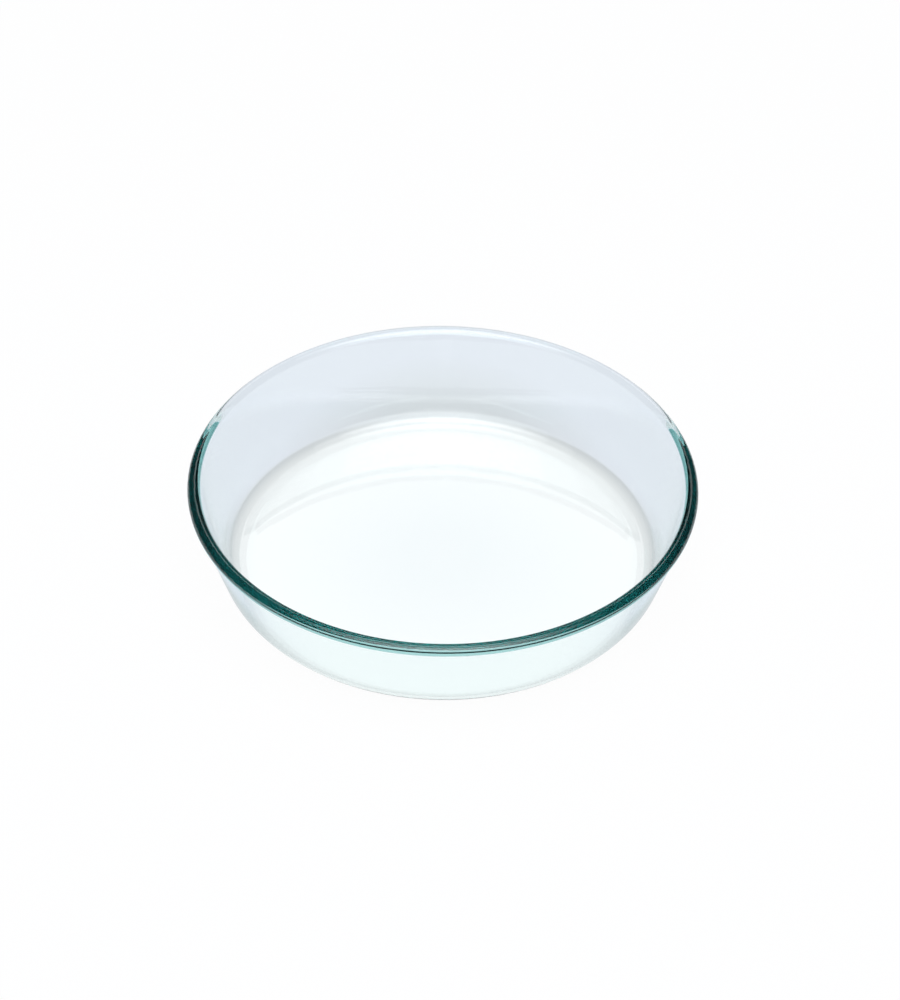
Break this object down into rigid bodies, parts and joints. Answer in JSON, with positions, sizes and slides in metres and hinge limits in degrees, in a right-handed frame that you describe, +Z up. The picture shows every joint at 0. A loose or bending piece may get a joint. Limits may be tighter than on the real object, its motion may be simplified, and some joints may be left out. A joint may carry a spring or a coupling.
{
  "type": "round glass baking dish",
  "caption": "Round clear pressed-glass baking dish with a flared side, a rounded out-turned lip to lift it by and a foot ring round a slightly raised base.",
  "frame": {"origin": "middle of the base, on the plane that the foot ring stands on", "axes": "+Z up along the axis that the dish is round about; X and Y are alike"},
  "size_m": [0.26, 0.26, 0.055],
  "materials": {
    "clear_glass": "polished, clear, with a blue-green tint where the glass is seen edge on"
  },
  "bodies": {
    "root": {"glass_dish": "clear_glass"}
  },
  "joints": []
}
